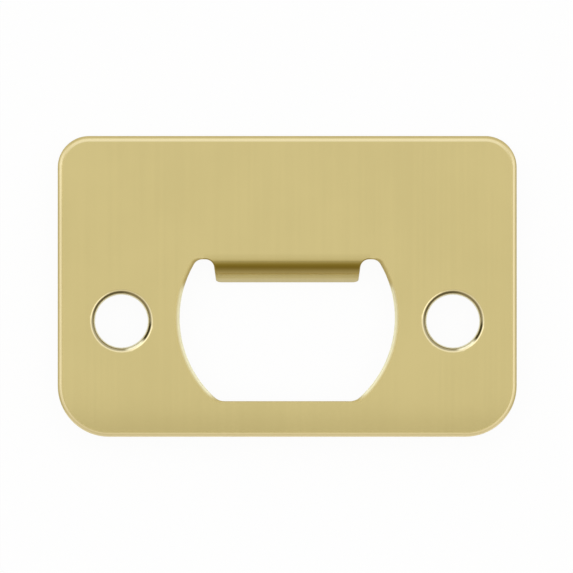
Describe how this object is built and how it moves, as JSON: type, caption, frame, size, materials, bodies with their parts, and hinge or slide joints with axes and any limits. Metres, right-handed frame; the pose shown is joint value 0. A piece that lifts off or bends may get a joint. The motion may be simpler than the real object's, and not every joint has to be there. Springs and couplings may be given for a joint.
{
  "type": "door strike plate",
  "caption": "Full-lip door strike plate in satin brass, with rounded corners, screw holes, a curved lip and a flat-sided round latch opening with a bent adjusting tang.",
  "frame": {"origin": "midway between the screw holes, on the flat back face that bears on the jamb", "axes": "+X along the plate's long side, through both screw holes; +Y towards the curved lip; +Z out of the front face, towards the door's edge"},
  "size_m": [0.0572, 0.0375, 0.0037],
  "materials": {
    "satin_brass": "satin, with a fine brushed grain across the plate's short side"
  },
  "bodies": {
    "root": {"strike_plate": "satin_brass"}
  },
  "joints": []
}
